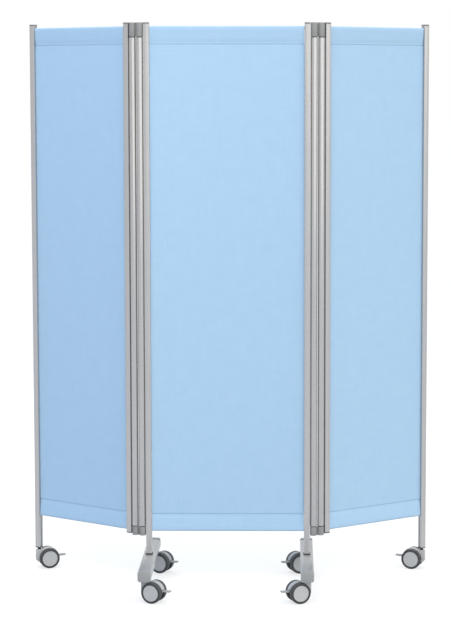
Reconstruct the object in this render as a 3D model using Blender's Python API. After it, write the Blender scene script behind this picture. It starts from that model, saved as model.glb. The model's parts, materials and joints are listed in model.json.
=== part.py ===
"""Folding partition screen on castors.

A centre panel stands on two cross feet. A wing hangs on each side of it, on a hinge with two upright
pivots, and each wing carries its outer edge on a castor of its own. X runs along the centre panel,
-Y is the front, +Z is up, and the origin is on the floor under the middle of the whole screen.
"""

import math

import bmesh
import bpy
from mathutils import Vector

# Gaps
GAP = 0.0003
RUNNING_GAP = 0.0004
CUT_OVERRUN = 0.002

# Posts: a square extrusion with a hollow core and a keyhole groove in the face that holds the fabric
SCREEN_HEIGHT = 1.750
POST_WIDTH = 0.018
POST_CHAMFER = 0.0010
POST_WALL = 0.0015
CORE_DEPTH = 0.0084
GROOVE_MOUTH = 0.0024
GROOVE_BORE = 0.0062
GROOVE_SETBACK = 0.0036
CAP_THICKNESS = 0.0045
CAP_PLUG = 0.008
GROOVE_SIDES = 8

# Fabric panels, each with a hem round a rail at the top and at the bottom
CENTRE_WIDTH = 0.474
WING_WIDTH = 0.352
FABRIC_DROP = 0.0062
FABRIC_FLOOR_CLEARANCE = 0.174
FABRIC_THICKNESS = 0.0010
FABRIC_EDGE = 0.0008
FABRIC_TUCK = 0.006
HEM_HEIGHT = 0.055
HEM_SIDE_GAP = 0.0005
BEAD_DIAMETER = 0.0050
RAIL_DIAMETER = 0.008
RAIL_ENTRY = 0.0040
RAIL_SIDES = 12
HEM_SIDES = 6

# Hinges: a tube along each of two neighbouring posts, and a link block above and below with a journal in each
TUBE_DIAMETER = 0.021
TUBE_WALL = 0.0020
TUBE_SIDES = 20
TUBE_POST_GAP = 0.0010
TUBE_WEB = 0.006
WEB_ROOT = 0.0008
PIVOT_SPACING = 0.023
TOP_BLOCK_HEIGHT = 0.043
BOTTOM_BLOCK_HEIGHT = 0.027
BLOCK_DROP = 0.0004
BLOCK_TUBE_GAP = 0.0010
BLOCK_SIDES = 10
JOURNAL_LENGTH = 0.022
JOURNAL_ROOT = 0.004
BLOCK_BELOW_FABRIC = 0.013
POST_BELOW_FABRIC = 0.009
REST_FOLD = math.radians(32)

# Feet: a box section across each centre post, closed at the front, with an end cap at the back
FOOT_WIDTH = 0.040
FOOT_HEIGHT = 0.033
FOOT_REACH = 0.2125
FOOT_WALL = 0.0025
FOOT_CHAMFER = 0.0055
REAR_CAP_LENGTH = 0.020
REAR_CAP_JOINT = 0.0065
FOOT_PLUG = 0.0055

# Castors: twin wheels under a hood, trailing behind an upright stem, with a brake lever
CASTOR_INSET = 0.0375
CASTOR_TRAIL = 0.030
WHEEL_DIAMETER = 0.065
WHEEL_WIDTH = 0.0165
WHEEL_SIDES = 20
TREAD_CHAMFER = 0.0020
HUB_DIAMETER = 0.0492
HUB_INSET = 0.0006
HUB_STEP = 0.0005
HUB_WEB = 0.0030
AXLE_DIAMETER = 0.008
AXLE_SIDES = 12
HOOD_WIDTH = 0.015
HOOD_WHEEL_GAP = 0.0010
HOOD_PROUD = 0.0012
HOOD_CLEARANCE = 0.0018
HOOD_SIDES = 10
AXLE_BOSS_RADIUS = 0.009
AXLE_BOSS_SIDES = 4
STEM_BLOCK_DROP = 0.0047
STEM_BLOCK_REACH = 0.0105
STEM_BLOCK_CORNER = 0.0030
STEM_BLOCK_LOW = 0.0080
STEM_BLOCK_HEEL = 0.0055
STEM_DIAMETER = 0.008
STEM_BUSH_DIAMETER = 0.011
BUSH_ROOT = 0.0010
STEM_RISE = 0.016
STEM_TIP_GAP = 0.0010
STEM_SIDES = 12
LEVER_PIVOT_OUT = 0.0170
LEVER_PIVOT_UP = 0.0043
LEVER_BOSS_RADIUS = 0.0035
LEVER_BOSS_SIDES = 8
LEVER_OVERHANG = 0.0240
LEVER_THICKNESS = 0.0036
LEVER_TIP_THICKNESS = 0.0026
LEVER_WIDTH = 0.0145
LEVER_RISE = math.radians(2)
LEVER_BOSS_START = math.radians(60)
LEVER_BOSS_END = math.radians(320)
HOOD_START = math.radians(16)
AXLE_BOSS_START = math.radians(235)
AXLE_BOSS_END = math.radians(325)
FOOT_CASTOR_HEADING = math.radians(-22)
WING_CASTOR_HEADING = math.radians(20)

# Edges sharper than this stay crisp on the turned pieces
CRISP_EDGE = math.radians(35)

# Worked out from the sizes above
CAP_BOTTOM = SCREEN_HEIGHT - CAP_THICKNESS
POST_TOP = CAP_BOTTOM - GAP
FABRIC_TOP = POST_TOP - FABRIC_DROP
FABRIC_BOTTOM = FABRIC_FLOOR_CLEARANCE
HEM_RADIUS = RAIL_DIAMETER / 2 + GAP + FABRIC_THICKNESS
RAIL_HEIGHTS = (FABRIC_BOTTOM + HEM_RADIUS, FABRIC_TOP - HEM_RADIUS)
HOLE_RADIUS = RAIL_DIAMETER / 2 + RUNNING_GAP
CORE_CENTRE = -POST_WIDTH / 2 + POST_WALL + CORE_DEPTH / 2
PIVOT_SETBACK = TUBE_POST_GAP + TUBE_DIAMETER / 2
TOP_BLOCK_TOP = SCREEN_HEIGHT - BLOCK_DROP
TOP_BLOCK_BOTTOM = TOP_BLOCK_TOP - TOP_BLOCK_HEIGHT
BOTTOM_BLOCK_BASE = FABRIC_BOTTOM - BLOCK_BELOW_FABRIC
BOTTOM_BLOCK_TOP = BOTTOM_BLOCK_BASE + BOTTOM_BLOCK_HEIGHT
INNER_POST_BOTTOM = FABRIC_BOTTOM - POST_BELOW_FABRIC
CENTRE_POST_X = CENTRE_WIDTH / 2 + POST_WIDTH / 2
CENTRE_PIVOT_X = CENTRE_WIDTH / 2 + POST_WIDTH + PIVOT_SETBACK
INNER_POST_X = PIVOT_SETBACK + POST_WIDTH / 2
OUTER_POST_X = PIVOT_SETBACK + POST_WIDTH + WING_WIDTH + POST_WIDTH / 2
CASTOR_REACH = FOOT_REACH - CASTOR_INSET
WHEEL_RADIUS = WHEEL_DIAMETER / 2
AXLE_HEIGHT = WHEEL_RADIUS * math.cos(math.pi / WHEEL_SIDES)
HOOD_RADIUS = WHEEL_RADIUS + HOOD_PROUD
STEM_BLOCK_RISE = HOOD_RADIUS - STEM_BLOCK_DROP
WHEEL_CENTRE_Y = HOOD_WIDTH / 2 + HOOD_WHEEL_GAP + WHEEL_WIDTH / 2
FOOT_BOTTOM = AXLE_HEIGHT + HOOD_RADIUS + HOOD_CLEARANCE
FOOT_TOP = FOOT_BOTTOM + FOOT_HEIGHT
CENTRE_POST_BOTTOM = FOOT_BOTTOM + FOOT_WALL + GAP
OUTER_POST_BOTTOM = FOOT_BOTTOM
STEM_BUSH_TOP = HOOD_RADIUS + HOOD_CLEARANCE - GAP
TUBE_BOTTOM = BOTTOM_BLOCK_TOP + BLOCK_TUBE_GAP
TUBE_TOP = TOP_BLOCK_BOTTOM - BLOCK_TUBE_GAP


def clear_scene():
    for old in list(bpy.data.objects):
        bpy.data.objects.remove(old)


def make_material(name, colour, roughness, metallic):
    material = bpy.data.materials.new(name)
    material.use_nodes = True
    shader = material.node_tree.nodes["Principled BSDF"]
    shader.inputs["Base Color"].default_value = (*colour, 1.0)
    shader.inputs["Roughness"].default_value = roughness
    shader.inputs["Metallic"].default_value = metallic
    material.diffuse_color = (*colour, 1.0)
    return material


def make_materials():
    return {
        "aluminium": make_material("brushed_aluminium", (0.50, 0.50, 0.51), 0.38, 0.85),
        "fabric": make_material("blue_fabric", (0.40, 0.62, 0.85), 0.90, 0.0),
        "cap": make_material("grey_end_cap_plastic", (0.22, 0.22, 0.23), 0.55, 0.0),
        "foot_cap": make_material("foot_end_plastic", (0.40, 0.41, 0.43), 0.50, 0.0),
        "block": make_material("hinge_block_plastic", (0.16, 0.16, 0.17), 0.50, 0.0),
        "foot": make_material("foot_grey_paint", (0.40, 0.41, 0.43), 0.45, 0.2),
        "steel": make_material("plated_steel", (0.45, 0.45, 0.46), 0.35, 1.0),
        "wheel": make_material("black_tyre", (0.035, 0.036, 0.040), 0.70, 0.0),
        "hood": make_material("pale_hood_plastic", (0.52, 0.53, 0.54), 0.50, 0.0),
    }


def arc(radius, start, end, steps, centre=(0.0, 0.0)):
    """Points on an arc, both ends included, on the radius given."""
    turns = (start + (end - start) * i / steps for i in range(steps + 1))
    return [(centre[0] + radius * math.cos(t), centre[1] + radius * math.sin(t)) for t in turns]


def ring(radius, sides, centre=(0.0, 0.0)):
    """A regular outline whose flats face along both axes."""
    half = math.pi / sides
    return arc(radius, half, 2 * math.pi - half, sides - 1, centre)


def box_outline(width, depth, centre=(0.0, 0.0), chamfer=0.0):
    x, y = width / 2, depth / 2
    if not chamfer:
        corners = [(-x, -y), (x, -y), (x, y), (-x, y)]
    else:
        corners = [
            (-x + chamfer, -y), (x - chamfer, -y), (x, -y + chamfer), (x, y - chamfer),
            (x - chamfer, y), (-x + chamfer, y), (-x, y - chamfer), (-x, -y + chamfer),
        ]
    return [(centre[0] + u, centre[1] + v) for u, v in corners]


def place(u, v, w, along):
    """A point of an outline (u, v) at the distance w along the axis that the outline is drawn across."""
    if along == "X":
        return (w, u, v)
    if along == "Y":
        return (u, w, v)
    return (u, v, w)


def finish_mesh(name, work):
    bmesh.ops.recalc_face_normals(work, faces=work.faces)
    mesh = bpy.data.meshes.new(name)
    work.to_mesh(mesh)
    work.free()
    return mesh


def prism(outline, low, high, along="Z"):
    """A closed bar: the outline drawn across one axis and carried from low to high."""
    work = bmesh.new()
    ends = [[work.verts.new(place(u, v, w, along)) for u, v in outline] for w in (low, high)]
    count = len(outline)
    for i in range(count):
        j = (i + 1) % count
        work.faces.new((ends[0][i], ends[0][j], ends[1][j], ends[1][i]))
    work.faces.new(ends[0])
    work.faces.new(ends[1])
    return finish_mesh("prism", work)


def lathe(profile, sides, along="Z"):
    """A turned body from (radius, distance) points, with flats square on to both axes across it."""
    work = bmesh.new()
    half = math.pi / sides
    turns = [half + 2 * math.pi * k / sides for k in range(sides)]
    rows = []
    for radius, w in profile:
        if radius == 0.0:
            rows.append([work.verts.new(place(0.0, 0.0, w, along))] * sides)
        else:
            rows.append([
                work.verts.new(place(radius * math.cos(t), radius * math.sin(t), w, along)) for t in turns
            ])
    closed = profile[0][0] > 0.0
    for i in range(len(rows) if closed else len(rows) - 1):
        near, far = rows[i], rows[(i + 1) % len(rows)]
        for k in range(sides):
            m = (k + 1) % sides
            corners = list(dict.fromkeys((near[k], near[m], far[m], far[k])))
            if len(corners) > 2:
                work.faces.new(corners)
    return finish_mesh("turned", work)


def combine(mesh, others, operation):
    """The mesh after a Boolean with each of the others in turn."""
    for other in others:
        body = bpy.data.objects.new("body", mesh)
        tool = bpy.data.objects.new("tool", other)
        bpy.context.scene.collection.objects.link(body)
        bpy.context.scene.collection.objects.link(tool)
        boolean = body.modifiers.new("boolean", "BOOLEAN")
        boolean.operation = operation
        boolean.object = tool
        boolean.solver = "EXACT"
        evaluated = body.evaluated_get(bpy.context.evaluated_depsgraph_get())
        mesh = bpy.data.meshes.new_from_object(evaluated)
        bpy.data.objects.remove(body)
        bpy.data.objects.remove(tool)
    return mesh


def cut(mesh, *cutters):
    return combine(mesh, cutters, "DIFFERENCE")


def join(mesh, *others):
    return combine(mesh, others, "UNION")


def moved(mesh, x=0.0, y=0.0, z=0.0, half_turn=False):
    """A copy of the mesh, turned by half a turn about Z where asked, then shifted."""
    work = bmesh.new()
    work.from_mesh(mesh)
    if half_turn:
        for vert in work.verts:
            vert.co.x, vert.co.y = -vert.co.x, -vert.co.y
    bmesh.ops.translate(work, verts=work.verts, vec=(x, y, z))
    return finish_mesh("moved", work)


def add_frame(name, parent, x=0.0, y=0.0, z=0.0, turn=0.0):
    """An empty that carries pieces, on the joint's axis where the pieces move."""
    empty = bpy.data.objects.new(name, None)
    bpy.context.scene.collection.objects.link(empty)
    empty.parent = parent
    empty.location = (x, y, z)
    empty.rotation_euler = (0.0, 0.0, turn)
    return empty


def add_piece(name, mesh, material, parent, round_piece=False):
    mesh.name = name
    mesh.materials.clear()
    mesh.materials.append(material)
    piece = bpy.data.objects.new(name, mesh)
    bpy.context.scene.collection.objects.link(piece)
    piece.parent = parent
    if round_piece:
        mesh.shade_smooth()
        mesh.set_sharp_from_angle(angle=CRISP_EDGE)
    return piece


def tube_outlines():
    """A hinge tube beside the post's -X face, as its outline with a web into the post, and its bore."""
    radius = TUBE_DIAMETER / 2
    web = TUBE_WEB / 2
    centre = (-POST_WIDTH / 2 - PIVOT_SETBACK, 0.0)
    root = -POST_WIDTH / 2 + WEB_ROOT
    start = math.asin(web / radius)
    outline = arc(radius, start, 2 * math.pi - start, TUBE_SIDES, centre) + [(root, -web), (root, web)]
    return outline, ring(radius - TUBE_WALL, TUBE_SIDES, centre)


def post_mesh(bottom, top):
    """A post about its own centre line, with the groove and the rail holes in its +X face."""
    half = POST_WIDTH / 2
    mouth = GROOVE_MOUTH / 2
    bore = GROOVE_BORE / 2
    bore_x = half - GROOVE_SETBACK
    opening = math.asin(mouth / bore)
    lip = arc(bore, opening, 2 * math.pi - opening, GROOVE_SIDES, (bore_x, 0.0))
    square = box_outline(POST_WIDTH, POST_WIDTH, chamfer=POST_CHAMFER)
    outline = square[:3] + [(half, -mouth)] + lip[::-1] + [(half, mouth)] + square[3:]
    core = box_outline(CORE_DEPTH, POST_WIDTH - 2 * POST_WALL, (CORE_CENTRE, 0.0))
    holes = [
        prism(ring(HOLE_RADIUS, RAIL_SIDES, (0.0, z)), half - RAIL_ENTRY - GAP, half + CUT_OVERRUN, "X")
        for z in RAIL_HEIGHTS
    ]
    return cut(prism(outline, bottom, top), prism(core, bottom - CUT_OVERRUN, top + CUT_OVERRUN), *holes)


def hinge_post_mesh(bottom, top):
    """A post with a hinge tube along its -X face, cut back at both ends for the link blocks."""
    outline, bore = tube_outlines()
    post = join(post_mesh(bottom, top), prism(outline, TUBE_BOTTOM, TUBE_TOP))
    return cut(post, prism(bore, TUBE_BOTTOM - CUT_OVERRUN, TUBE_TOP + CUT_OVERRUN))


def outer_post_mesh(bottom, top):
    """A post with a socket in its lower end for a castor's stem."""
    depth = STEM_RISE + STEM_TIP_GAP
    socket = prism(ring(STEM_DIAMETER / 2 + RUNNING_GAP, STEM_SIDES), bottom - CUT_OVERRUN, bottom + depth)
    return cut(post_mesh(bottom, top), socket)


def plug_outline():
    """What slides into the hollow core of a post."""
    return box_outline(CORE_DEPTH - 2 * GAP, POST_WIDTH - 2 * POST_WALL - 2 * GAP, (CORE_CENTRE, 0.0))


def cap_mesh():
    """A thin cap on the top of a post, with a plug in the core."""
    plate = prism(box_outline(POST_WIDTH, POST_WIDTH, chamfer=POST_CHAMFER), CAP_BOTTOM, SCREEN_HEIGHT)
    return join(plate, prism(plug_outline(), CAP_BOTTOM - CAP_PLUG, CAP_BOTTOM + CAP_THICKNESS / 2))


def hem_outline():
    """One outline across the fabric: a hem round each rail, drawn in to the single cloth between them."""
    low, high = RAIL_HEIGHTS
    cloth = FABRIC_THICKNESS / 2
    upper = arc(HEM_RADIUS, 0.0, math.pi, HEM_SIDES, (0.0, high))
    lower = arc(HEM_RADIUS, math.pi, 2 * math.pi, HEM_SIDES, (0.0, low))
    top_seam, bottom_seam = FABRIC_TOP - HEM_HEIGHT, FABRIC_BOTTOM + HEM_HEIGHT
    return [
        *upper, (-cloth, top_seam), (-cloth, bottom_seam),
        *lower, (cloth, bottom_seam), (cloth, top_seam),
    ]


def fabric_mesh(width):
    """A taut panel about its own middle, with a bead down each side that the posts hold."""
    reach = width / 2 - HEM_SIDE_GAP
    bead_x = width / 2 + GROOVE_SETBACK
    low, high = FABRIC_BOTTOM + HEM_HEIGHT, FABRIC_TOP - HEM_HEIGHT
    panel = prism(hem_outline(), -reach, reach, "X")
    bead = BEAD_DIAMETER / 2
    edge = FABRIC_EDGE / 2
    neck = math.pi - math.asin(edge / bead)
    outline = [(reach - FABRIC_TUCK, edge), (reach - FABRIC_TUCK, -edge)]
    outline += arc(bead, -neck, neck, GROOVE_SIDES, (bead_x, 0.0))
    side = prism(outline, low, high)
    ends = (-reach - CUT_OVERRUN, reach + CUT_OVERRUN)
    bores = [prism(ring(RAIL_DIAMETER / 2 + GAP, RAIL_SIDES, (0.0, z)), *ends, "X") for z in RAIL_HEIGHTS]
    return cut(join(panel, side, moved(side, half_turn=True)), *bores)


def rail_mesh(width, height):
    """A rail about the middle of its panel, each end let into a post."""
    reach = width / 2 + RAIL_ENTRY
    return prism(ring(RAIL_DIAMETER / 2, RAIL_SIDES, (0.0, height)), -reach, reach, "X")


def block_mesh(bottom, top, journal_side):
    """A link block about the first pivot, reaching to the second at +X, with a journal for each tube."""
    radius = TUBE_DIAMETER / 2
    quarter = math.pi / 2
    outline = arc(radius, quarter, 3 * quarter, BLOCK_SIDES)
    outline += arc(radius, -quarter, quarter, BLOCK_SIDES, (PIVOT_SPACING, 0.0))
    face = bottom if journal_side < 0 else top
    tip = face + journal_side * (BLOCK_TUBE_GAP + JOURNAL_LENGTH)
    root = face - journal_side * JOURNAL_ROOT
    bearing = radius - TUBE_WALL - RUNNING_GAP
    journals = [
        prism(ring(bearing, TUBE_SIDES, (x, 0.0)), *sorted((root, tip))) for x in (0.0, PIVOT_SPACING)
    ]
    return join(prism(outline, bottom, top), *journals)


def foot_outline(inset=0.0):
    """The foot's section, or the same drawn in by an even distance on every side."""
    middle = FOOT_BOTTOM + FOOT_HEIGHT / 2
    chamfer = FOOT_CHAMFER - (2 - math.sqrt(2)) * inset
    return box_outline(FOOT_WIDTH - 2 * inset, FOOT_HEIGHT - 2 * inset, (0.0, middle), chamfer)


def foot_bar_mesh():
    """A hollow foot about its post, with holes for two stems and a square socket for the post."""
    middle = FOOT_BOTTOM + FOOT_HEIGHT / 2
    rear = FOOT_REACH - REAR_CAP_LENGTH - REAR_CAP_JOINT
    shell = cut(prism(foot_outline(), -FOOT_REACH, rear, "Y"),
                prism(foot_outline(FOOT_WALL), -FOOT_REACH + FOOT_WALL, rear + CUT_OVERRUN, "Y"))
    socket = prism(box_outline(POST_WIDTH + 2 * GAP, POST_WIDTH + 2 * GAP), middle, FOOT_TOP + CUT_OVERRUN)
    stem_holes = [
        prism(ring(STEM_DIAMETER / 2 + RUNNING_GAP, STEM_SIDES, (0.0, side * CASTOR_REACH)),
              FOOT_BOTTOM - CUT_OVERRUN, FOOT_BOTTOM + FOOT_WALL + CUT_OVERRUN)
        for side in (-1, 1)
    ]
    return cut(shell, socket, *stem_holes)


def foot_cap_mesh():
    """The rear end cap, standing off the bar by its joint, with a neck that plugs the bar."""
    face = FOOT_REACH - REAR_CAP_LENGTH
    block = prism(foot_outline(), face, FOOT_REACH, "Y")
    neck = prism(foot_outline(FOOT_WALL + GAP), face - REAR_CAP_JOINT - FOOT_PLUG,
                 face + REAR_CAP_LENGTH / 2, "Y")
    return join(block, neck)


def stem_mesh():
    """A castor's stem about its own line: a bush on the hood and a pin that turns in the foot or post."""
    pin, rim = STEM_DIAMETER / 2, STEM_BUSH_DIAMETER / 2
    low, tip = STEM_BLOCK_RISE - BUSH_ROOT, STEM_BUSH_TOP + GAP + STEM_RISE
    return lathe([(0.0, low), (rim, low), (rim, STEM_BUSH_TOP), (pin, STEM_BUSH_TOP), (pin, tip), (0.0, tip)],
                 STEM_SIDES)


def hood_mesh():
    """The castor body about its axle: a hood between the wheels that runs into a block under the stem."""
    half = HOOD_WIDTH / 2
    back, top = -CASTOR_TRAIL - STEM_BLOCK_REACH, STEM_BLOCK_RISE
    outline = arc(HOOD_RADIUS, HOOD_START, math.pi - math.asin(top / HOOD_RADIUS), HOOD_SIDES)
    outline += [(back + STEM_BLOCK_CORNER, top), (back, top - STEM_BLOCK_CORNER), (back, -STEM_BLOCK_LOW),
                (back + STEM_BLOCK_HEEL, -STEM_BLOCK_LOW - STEM_BLOCK_HEEL)]
    outline += arc(AXLE_BOSS_RADIUS, AXLE_BOSS_START, AXLE_BOSS_END, AXLE_BOSS_SIDES)
    over_lever = LEVER_BOSS_RADIUS + GAP
    outline += [(LEVER_PIVOT_OUT, LEVER_PIVOT_UP), (LEVER_PIVOT_OUT + over_lever * math.cos(LEVER_BOSS_START),
                                                    LEVER_PIVOT_UP + over_lever * math.sin(LEVER_BOSS_START))]
    hood = prism(outline, -half, half, "Y")
    axle_bore = prism(ring(AXLE_DIAMETER / 2 + RUNNING_GAP, AXLE_SIDES), -half - CUT_OVERRUN,
                      half + CUT_OVERRUN, "Y")
    notch = prism(ring(LEVER_BOSS_RADIUS + RUNNING_GAP, AXLE_SIDES, (LEVER_PIVOT_OUT, LEVER_PIVOT_UP)),
                  -half - CUT_OVERRUN, half + CUT_OVERRUN, "Y")
    return cut(join(hood, moved(stem_mesh(), x=-CASTOR_TRAIL)), axle_bore, notch)


def wheel_mesh(outer_side):
    """A wheel about its axle, with its tyre moulded on, closed outside and bored from inside."""
    half, radius = WHEEL_WIDTH / 2, WHEEL_RADIUS
    rim, bore = HUB_DIAMETER / 2, AXLE_DIAMETER / 2 + RUNNING_GAP
    outer, face, inner = outer_side * half, outer_side * (half - HUB_INSET), -outer_side * half
    shoulder = outer_side * (half - TREAD_CHAMFER)
    floor = face - outer_side * HUB_WEB
    return lathe([
        (0.0, face), (rim - HUB_STEP, face), (rim, outer), (radius - TREAD_CHAMFER, outer),
        (radius, shoulder), (radius, -shoulder), (radius - TREAD_CHAMFER, inner), (bore, inner),
        (bore, floor), (0.0, floor),
    ], WHEEL_SIDES, "Y")


def axle_mesh():
    reach = WHEEL_CENTRE_Y + WHEEL_WIDTH / 2 - HUB_INSET - HUB_WEB - RUNNING_GAP
    return prism(ring(AXLE_DIAMETER / 2, AXLE_SIDES), -reach, reach, "Y")


def lever_mesh():
    """A brake lever about its own pivot, with a paddle that reaches past the wheels."""
    reach = WHEEL_RADIUS + LEVER_OVERHANG - LEVER_PIVOT_OUT
    tip_z = reach * math.tan(LEVER_RISE)
    outline = arc(LEVER_BOSS_RADIUS, LEVER_BOSS_START, LEVER_BOSS_END, LEVER_BOSS_SIDES)
    outline += [(reach, tip_z - LEVER_TIP_THICKNESS / 2), (reach, tip_z + LEVER_TIP_THICKNESS / 2),
                (LEVER_BOSS_RADIUS, LEVER_THICKNESS / 2 + LEVER_BOSS_RADIUS * math.tan(LEVER_RISE))]
    return prism(outline, -LEVER_WIDTH / 2, LEVER_WIDTH / 2, "Y")


def build_castor(name, parent, x, y, heading, materials):
    """One castor under the point x, y of its parent, trailing towards the heading."""
    swivel = add_frame(name + "_castor_swivel", parent, x, y, 0.0, heading)
    axle = add_frame(name + "_castor_axle_line", swivel, CASTOR_TRAIL, 0.0, AXLE_HEIGHT)
    brake = add_frame(name + "_castor_brake_line", axle, LEVER_PIVOT_OUT, 0.0, LEVER_PIVOT_UP)
    add_piece(name + "_castor_hood", hood_mesh(), materials["hood"], axle)
    add_piece(name + "_castor_axle", axle_mesh(), materials["steel"], axle, True)
    for side_name, side in (("wheel_a", -1), ("wheel_b", 1)):
        wheel = moved(wheel_mesh(side), y=side * WHEEL_CENTRE_Y)
        add_piece(name + "_castor_" + side_name, wheel, materials["wheel"], axle, True)
    add_piece(name + "_brake_lever", lever_mesh(), materials["hood"], brake)


def build_centre(parent, materials):
    """The centre panel: two hinge posts with caps, two rails and the fabric."""
    for name, side in (("left", -1), ("right", 1)):
        spot = {"x": side * CENTRE_POST_X, "half_turn": side > 0}
        post = moved(hinge_post_mesh(CENTRE_POST_BOTTOM, POST_TOP), **spot)
        add_piece("centre_" + name + "_post", post, materials["aluminium"], parent)
        add_piece("centre_" + name + "_cap", moved(cap_mesh(), **spot), materials["cap"], parent)
    for name, height in zip(("bottom", "top"), RAIL_HEIGHTS):
        rail = rail_mesh(CENTRE_WIDTH, height)
        add_piece("centre_" + name + "_rail", rail, materials["aluminium"], parent, True)
    add_piece("centre_fabric", fabric_mesh(CENTRE_WIDTH), materials["fabric"], parent)


def build_feet(parent, materials):
    """The two feet with their end caps, each on two castors."""
    for name, side in (("left", -1), ("right", 1)):
        x = side * CENTRE_POST_X
        add_piece(name + "_foot_bar", moved(foot_bar_mesh(), x=x), materials["foot"], parent)
        add_piece(name + "_foot_end_cap", moved(foot_cap_mesh(), x=x), materials["foot_cap"], parent)
        heading = FOOT_CASTOR_HEADING if side < 0 else math.pi - FOOT_CASTOR_HEADING
        for end_name, end in (("front", -1), ("rear", 1)):
            build_castor(name + "_" + end_name, parent, x, end * CASTOR_REACH, heading, materials)


def build_link(name, parent, materials):
    """The two blocks that join the tubes of one hinge, about the first pivot."""
    top = block_mesh(TOP_BLOCK_BOTTOM, TOP_BLOCK_TOP, -1)
    bottom = block_mesh(BOTTOM_BLOCK_BASE, BOTTOM_BLOCK_TOP, 1)
    add_piece(name + "_hinge_top_block", top, materials["block"], parent)
    add_piece(name + "_hinge_bottom_block", bottom, materials["block"], parent)


def build_wing(name, parent, materials):
    """A wing about its pivot, reaching to +X."""
    middle = PIVOT_SETBACK + POST_WIDTH + WING_WIDTH / 2
    inner = moved(hinge_post_mesh(INNER_POST_BOTTOM, POST_TOP), x=INNER_POST_X)
    outer = moved(outer_post_mesh(OUTER_POST_BOTTOM, POST_TOP), x=OUTER_POST_X, half_turn=True)
    add_piece(name + "_wing_inner_post", inner, materials["aluminium"], parent)
    add_piece(name + "_wing_outer_post", outer, materials["aluminium"], parent)
    add_piece(name + "_wing_inner_cap", moved(cap_mesh(), x=INNER_POST_X), materials["cap"], parent)
    outer_cap = moved(cap_mesh(), x=OUTER_POST_X, half_turn=True)
    add_piece(name + "_wing_outer_cap", outer_cap, materials["cap"], parent)
    for end_name, height in zip(("bottom", "top"), RAIL_HEIGHTS):
        rail = moved(rail_mesh(WING_WIDTH, height), x=middle)
        add_piece(name + "_wing_" + end_name + "_rail", rail, materials["aluminium"], parent, True)
    add_piece(name + "_wing_fabric", moved(fabric_mesh(WING_WIDTH), x=middle), materials["fabric"], parent)


def build_side(name, side, parent, materials):
    """A link and a wing on one side, folded back by the resting angle, half of it at each pivot."""
    step = REST_FOLD / 2
    base = 0.0 if side > 0 else math.pi
    link = add_frame(name + "_link_pivot", parent, side * CENTRE_PIVOT_X, 0.0, 0.0, base + side * step)
    wing = add_frame(name + "_wing_pivot", link, PIVOT_SPACING, 0.0, 0.0, side * step)
    build_link(name, link, materials)
    build_wing(name, wing, materials)
    heading = math.pi - WING_CASTOR_HEADING if side > 0 else WING_CASTOR_HEADING
    turn = heading - base - side * REST_FOLD
    build_castor(name + "_wing", wing, OUTER_POST_X, 0.0, turn, materials)


def stand_on_origin(root):
    """Shifts the whole screen so that the origin lies under the middle of its box."""
    bpy.context.view_layer.update()
    corners = [
        piece.matrix_world @ vert.co
        for piece in bpy.data.objects if piece.type == "MESH" for vert in piece.data.vertices
    ]
    low = Vector(min(c[i] for c in corners) for i in range(3))
    high = Vector(max(c[i] for c in corners) for i in range(3))
    root.location = (-(low.x + high.x) / 2, -(low.y + high.y) / 2, -low.z)
    bpy.context.view_layer.update()


def main():
    clear_scene()
    materials = make_materials()
    root = add_frame("screen", None)
    build_centre(root, materials)
    build_feet(root, materials)
    for name, side in (("left", -1), ("right", 1)):
        build_side(name, side, root, materials)
    stand_on_origin(root)


main()
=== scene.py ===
"""The looks of a folding partition screen on castors: finishes, cloth, trim, floor, light and camera.

Lengths are metres. X runs along the centre panel, the front faces -Y and +Z is up. A post is drawn with its
cloth groove towards +X and its hinge tube towards -X, and a castor about its axle, with its stem towards -X
and its brake lever towards +X.
"""

import json
import math

import bmesh
import bpy
from mathutils import Matrix, Vector


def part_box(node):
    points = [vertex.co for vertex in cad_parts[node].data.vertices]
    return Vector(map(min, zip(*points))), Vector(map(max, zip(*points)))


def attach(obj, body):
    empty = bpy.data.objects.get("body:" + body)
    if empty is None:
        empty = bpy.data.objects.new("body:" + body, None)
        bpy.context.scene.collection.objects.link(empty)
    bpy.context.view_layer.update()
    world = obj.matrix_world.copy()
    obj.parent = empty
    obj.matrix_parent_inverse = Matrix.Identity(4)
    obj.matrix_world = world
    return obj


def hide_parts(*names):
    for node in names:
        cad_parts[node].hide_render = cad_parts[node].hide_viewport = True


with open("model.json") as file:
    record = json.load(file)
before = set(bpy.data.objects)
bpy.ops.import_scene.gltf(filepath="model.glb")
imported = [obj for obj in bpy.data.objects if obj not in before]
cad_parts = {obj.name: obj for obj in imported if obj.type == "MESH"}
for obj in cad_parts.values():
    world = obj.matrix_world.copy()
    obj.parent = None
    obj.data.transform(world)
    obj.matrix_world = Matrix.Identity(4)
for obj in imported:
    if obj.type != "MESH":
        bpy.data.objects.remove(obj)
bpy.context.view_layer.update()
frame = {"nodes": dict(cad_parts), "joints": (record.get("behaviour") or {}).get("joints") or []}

JOINTS = {joint["name"]: joint for joint in frame["joints"]}
CASTORS = ("left_front", "left_rear", "left_wing", "right_front", "right_rear", "right_wing")
HERE = Matrix.Identity(4)


def spot(joint):
    """The point that a joint turns about."""
    return Vector(JOINTS[joint]["pos_m"])


def facing(origin, along):
    """The space at an origin whose X points along a direction on the floor, with Z up."""
    return Matrix.Translation(origin) @ Matrix.Rotation(math.atan2(along.y, along.x), 4, "Z")


def shifted(x=0.0, y=0.0, z=0.0):
    """The space moved along its axes."""
    return Matrix.Translation((x, y, z))


HALF_TURN = Matrix.Rotation(math.pi, 4, "Z")

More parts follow.
